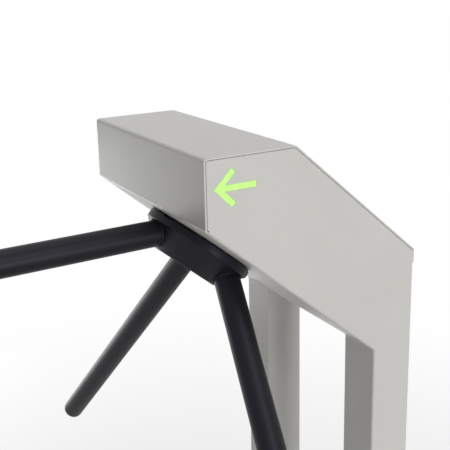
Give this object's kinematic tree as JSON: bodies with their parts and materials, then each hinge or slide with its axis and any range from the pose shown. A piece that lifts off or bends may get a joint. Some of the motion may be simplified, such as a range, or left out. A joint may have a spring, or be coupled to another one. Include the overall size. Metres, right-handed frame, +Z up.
{
  "type": "tripod turnstile",
  "caption": "Access turnstile: a sloped sheet-metal head on two legs and a base plate, with a tilted rotor that holds one arm level across the passage.",
  "frame": {"origin": "centre of the four floor anchor holes, on the underside of the base plate", "axes": "+Z up, +X to the rear of the cabinet (the level arm points to -X, into the passage), +Y to the left side of someone who looks along +X"},
  "size_m": [0.7963, 0.7912, 1],
  "materials": {
    "cabinet_paint": "light grey textured powder coat",
    "black_paint": "satin black powder coat",
    "bright_steel": "machined and oiled",
    "zinc_plate": "zinc plated",
    "gear_brass": "hobbed brass",
    "black_rubber": "moulded rubber",
    "black_plastic": "moulded nylon",
    "lens_plastic": "light green translucent lens",
    "circuit_board": "solder-masked board",
    "coil_tape": "steel frame with a copper-brown taped coil",
    "supply_case": "bare pressed case"
  },
  "bodies": {
    "cabinet": {"base_plate": "cabinet_paint", "near_leg": "cabinet_paint", "far_leg": "cabinet_paint", "near_side": "cabinet_paint", "far_side": "cabinet_paint", "underside_panel": "cabinet_paint", "top_cover": "cabinet_paint", "rear_panel": "cabinet_paint", "casing_screws": "zinc_plate", "arrow_lenses": "lens_plastic", "arrow_boards": "circuit_board", "mechanism_plate": "zinc_plate", "plate_studs": "zinc_plate", "bearing_housing": "bright_steel", "housing_bolts": "zinc_plate", "lower_bearing": "bright_steel", "upper_bearing": "bright_steel", "bearing_spacer": "zinc_plate", "bearing_cap": "zinc_plate", "pawl_posts": "bright_steel", "retaining_clips": "zinc_plate", "near_solenoid": "coil_tape", "far_solenoid": "coil_tape", "solenoid_brackets": "zinc_plate", "crank_post": "bright_steel", "spring_post": "bright_steel", "return_spring": "bright_steel", "near_plunger_spring": "bright_steel", "far_plunger_spring": "bright_steel", "damper_body": "black_plastic", "sensor_bracket": "zinc_plate", "sensor_forks": "black_plastic", "control_board": "circuit_board", "power_supply": "supply_case", "terminal_block": "black_plastic", "cable_grommets": "black_rubber"},
    "rotor": {"hub": "black_paint", "hub_bolt": "bright_steel", "hub_cap": "black_paint", "arm_1": "black_paint", "arm_2": "black_paint", "arm_3": "black_paint", "arm_caps": "black_plastic", "arm_bolts": "bright_steel", "arm_seals": "black_rubber", "shaft": "bright_steel", "shaft_key": "bright_steel", "bearing_inner_rings": "bright_steel", "rotor_gear": "bright_steel", "ratchet_in": "bright_steel", "ratchet_out": "bright_steel", "sensor_disc": "zinc_plate", "shaft_nut": "zinc_plate"},
    "crank": {"crank_gear": "gear_brass"},
    "damper_rotor": {"damper_pinion": "gear_brass"},
    "near_lock": {"near_pawl": "bright_steel"},
    "far_lock": {"far_pawl": "bright_steel"},
    "near_core": {"near_plunger": "bright_steel"},
    "far_core": {"far_plunger": "bright_steel"}
  },
  "joints": [
    {"name": "hub_spin", "type": "hinge", "parent": "cabinet", "child": "rotor", "pos_m": [-0.10749, 0, 0.86162], "axis": [0.6461, 0, 0.7632], "continuous": true},
    {"name": "crank_spin", "type": "hinge", "parent": "cabinet", "child": "crank", "pos_m": [-0.05254, 0, 0.8151], "axis": [0.6461, 0, 0.7632], "continuous": true, "deforming": ["return_spring"]},
    {"name": "damper_spin", "type": "hinge", "parent": "cabinet", "child": "damper_rotor", "pos_m": [-0.13497, 0.06235, 0.88488], "axis": [0.6461, 0, 0.7632], "continuous": true},
    {"name": "near_pawl_swing", "type": "hinge", "parent": "cabinet", "child": "near_lock", "pos_m": [-0.07238, -0.048, 0.8319], "axis": [-0.6461, 0, -0.7632], "range_deg": [0, 11]},
    {"name": "far_pawl_swing", "type": "hinge", "parent": "cabinet", "child": "far_lock", "pos_m": [-0.07238, 0.048, 0.8319], "axis": [0.6461, 0, 0.7632], "range_deg": [0, 11]},
    {"name": "near_plunger_slide", "type": "slide", "parent": "cabinet", "child": "near_core", "axis": [0, -1, 0], "range_m": [0, 0.00537], "stiffness_N_per_m": 890, "springref_m": -0.0028, "deforming": ["near_plunger_spring"]},
    {"name": "far_plunger_slide", "type": "slide", "parent": "cabinet", "child": "far_core", "axis": [0, 1, 0], "range_m": [0, 0.00537], "stiffness_N_per_m": 890, "springref_m": -0.0028, "deforming": ["far_plunger_spring"]}
  ],
  "couplings": [
    {"joint": "crank_spin", "follows": "hub_spin", "ratio": -3},
    {"joint": "damper_spin", "follows": "hub_spin", "ratio": -3},
    {"joint": "near_pawl_swing", "follows": "near_plunger_slide", "rad_per_m": 35.714},
    {"joint": "far_pawl_swing", "follows": "far_plunger_slide", "rad_per_m": 35.714}
  ]
}
